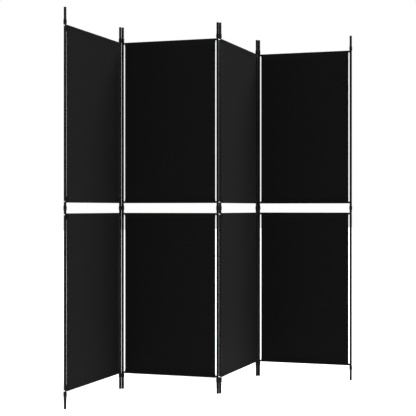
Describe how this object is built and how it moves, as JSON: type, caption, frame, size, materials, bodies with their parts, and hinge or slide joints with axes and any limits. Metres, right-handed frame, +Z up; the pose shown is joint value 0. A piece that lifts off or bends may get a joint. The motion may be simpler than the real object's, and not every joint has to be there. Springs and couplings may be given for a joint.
{
  "type": "folding room divider screen",
  "caption": "Free-standing folding screen: hinged panels of thin black metal tube, with black cloth held between round rails, for dividing or screening off part of a room.",
  "frame": {"origin": "on the floor, in the middle of the footprint of the standing screen", "axes": "+X along the screen from left to right as seen from the front, +Y to the back, +Z up"},
  "size_m": [1.5458, 0.3296, 1.8],
  "materials": {
    "frame_paint": "satin black powder coat on steel tube",
    "cloth": "matt black plain-weave polyester",
    "hinge_plastic": "moulded black nylon, satin",
    "post_plug_plastic": "moulded black polyethylene, fine grain",
    "screw_steel": "bright zinc plate"
  },
  "bodies": {
    "panel_1": {"panel_1_left_post": "frame_paint", "panel_1_right_post": "frame_paint", "panel_1_bottom_rail": "frame_paint", "panel_1_lower_middle_rail": "frame_paint", "panel_1_upper_middle_rail": "frame_paint", "panel_1_top_rail": "frame_paint", "panel_1_lower_cloth": "cloth", "panel_1_upper_cloth": "cloth", "panel_1_left_foot": "post_plug_plastic", "panel_1_right_foot": "post_plug_plastic", "panel_1_left_cap": "post_plug_plastic", "panel_1_right_cap": "post_plug_plastic"},
    "hinge_1_clips": {"hinge_1_bottom_clip": "hinge_plastic", "hinge_1_middle_clip": "hinge_plastic", "hinge_1_top_clip": "hinge_plastic"},
    "panel_2": {"panel_2_left_post": "frame_paint", "panel_2_right_post": "frame_paint", "panel_2_bottom_rail": "frame_paint", "panel_2_lower_middle_rail": "frame_paint", "panel_2_upper_middle_rail": "frame_paint", "panel_2_top_rail": "frame_paint", "panel_2_lower_cloth": "cloth", "panel_2_upper_cloth": "cloth", "panel_2_left_foot": "post_plug_plastic", "panel_2_right_foot": "post_plug_plastic", "panel_2_left_cap": "post_plug_plastic", "panel_2_right_cap": "post_plug_plastic"},
    "hinge_2_clips": {"hinge_2_bottom_clip": "hinge_plastic", "hinge_2_middle_clip": "hinge_plastic", "hinge_2_top_clip": "hinge_plastic"},
    "panel_3": {"panel_3_left_post": "frame_paint", "panel_3_right_post": "frame_paint", "panel_3_bottom_rail": "frame_paint", "panel_3_lower_middle_rail": "frame_paint", "panel_3_upper_middle_rail": "frame_paint", "panel_3_top_rail": "frame_paint", "panel_3_lower_cloth": "cloth", "panel_3_upper_cloth": "cloth", "panel_3_left_foot": "post_plug_plastic", "panel_3_right_foot": "post_plug_plastic", "panel_3_left_cap": "post_plug_plastic", "panel_3_right_cap": "post_plug_plastic"},
    "hinge_3_clips": {"hinge_3_bottom_clip": "hinge_plastic", "hinge_3_middle_clip": "hinge_plastic", "hinge_3_top_clip": "hinge_plastic"},
    "panel_4": {"panel_4_left_post": "frame_paint", "panel_4_right_post": "frame_paint", "panel_4_bottom_rail": "frame_paint", "panel_4_lower_middle_rail": "frame_paint", "panel_4_upper_middle_rail": "frame_paint", "panel_4_top_rail": "frame_paint", "panel_4_lower_cloth": "cloth", "panel_4_upper_cloth": "cloth", "panel_4_left_foot": "post_plug_plastic", "panel_4_right_foot": "post_plug_plastic", "panel_4_left_cap": "post_plug_plastic", "panel_4_right_cap": "post_plug_plastic"}
  },
  "joints": [
    {"name": "hinge_1_right", "type": "hinge", "parent": "panel_2", "child": "hinge_1_clips", "pos_m": [-0.38008, 0.15717, 0.9], "axis": [0, 0, 1], "range_deg": [-40.1, 46.9]},
    {"name": "hinge_1_left", "type": "hinge", "parent": "hinge_1_clips", "child": "panel_1", "pos_m": [-0.39368, 0.15717, 0.9], "axis": [0, 0, 1], "range_deg": [-45, 50]},
    {"name": "hinge_2_left", "type": "hinge", "parent": "panel_2", "child": "hinge_2_clips", "pos_m": [-0.0068, -0.15717, 0.9], "axis": [0, 0, 1], "range_deg": [-40.1, 46.9]},
    {"name": "hinge_2_right", "type": "hinge", "parent": "hinge_2_clips", "child": "panel_3", "pos_m": [0.0068, -0.15717, 0.9], "axis": [0, 0, 1], "range_deg": [-45, 50]},
    {"name": "hinge_3_left", "type": "hinge", "parent": "panel_3", "child": "hinge_3_clips", "pos_m": [0.38008, 0.15717, 0.9], "axis": [0, 0, -1], "range_deg": [-40.1, 46.9]},
    {"name": "hinge_3_right", "type": "hinge", "parent": "hinge_3_clips", "child": "panel_4", "pos_m": [0.39368, 0.15717, 0.9], "axis": [0, 0, -1], "range_deg": [-45, 50]}
  ],
  "couplings": [
    {"joint": "hinge_1_left", "follows": "hinge_1_right", "ratio": 1},
    {"joint": "hinge_2_right", "follows": "hinge_2_left", "ratio": 1},
    {"joint": "hinge_3_right", "follows": "hinge_3_left", "ratio": 1}
  ]
}
